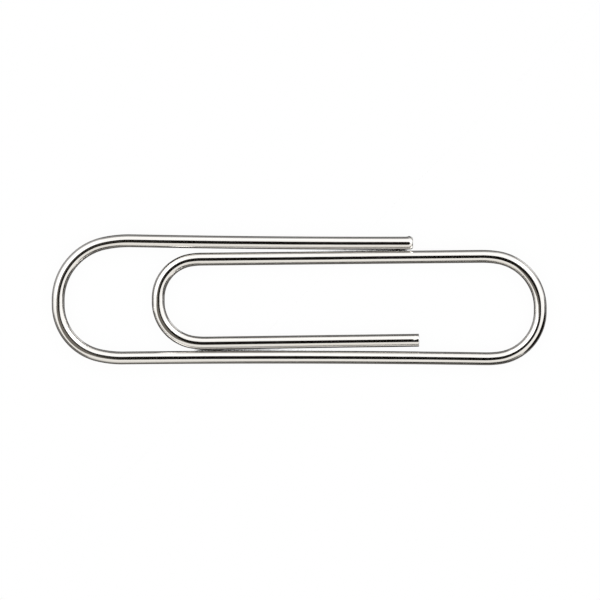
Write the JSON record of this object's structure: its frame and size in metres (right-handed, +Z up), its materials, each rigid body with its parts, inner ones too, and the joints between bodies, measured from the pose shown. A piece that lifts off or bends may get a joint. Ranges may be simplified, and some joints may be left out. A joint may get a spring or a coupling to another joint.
{
  "type": "paper clip",
  "caption": "Round-ended wire paper clip: plated steel wire bent into an inner tongue loop nested in an outer loop, which spring apart to grip the edge of loose sheets.",
  "frame": {"origin": "middle of the clip's length and width, on the surface that it lies on", "axes": "+X along the clip, from the large bend to the end bend; +Y across it, towards the outer free leg; +Z up, square to the plane of the clip"},
  "size_m": [0.032, 0.0084, 0.0008],
  "materials": {
    "plated_wire": "polished"
  },
  "bodies": {
    "outer_loop": {"long_leg": "plated_wire", "large_bend_lower": "plated_wire", "end_bend_lower": "plated_wire"},
    "outer_arm": {"large_bend_upper": "plated_wire", "outer_leg": "plated_wire"},
    "tongue": {"end_bend_upper": "plated_wire", "inner_leg": "plated_wire", "small_bend_upper": "plated_wire"},
    "tongue_arm": {"small_bend_lower": "plated_wire", "tongue_leg": "plated_wire"}
  },
  "joints": [
    {"name": "tongue_lift", "type": "hinge", "parent": "outer_loop", "child": "tongue", "pos_m": [0.01558, -0.00063, 0.00042], "axis": [0, 1, 0], "range_deg": [-14, 14], "stiffness_Nm_per_rad": 0.17},
    {"name": "outer_leg_flex", "type": "hinge", "parent": "outer_loop", "child": "outer_arm", "pos_m": [-0.01558, -0.00017, 0.00042], "axis": [0, -1, 0], "range_deg": [-11, 11], "stiffness_Nm_per_rad": 0.22},
    {"name": "tongue_leg_flex", "type": "hinge", "parent": "tongue", "child": "tongue_arm", "pos_m": [-0.00911, -0.00001, 0.00042], "axis": [0, -1, 0], "range_deg": [-8, 8], "stiffness_Nm_per_rad": 0.3}
  ]
}
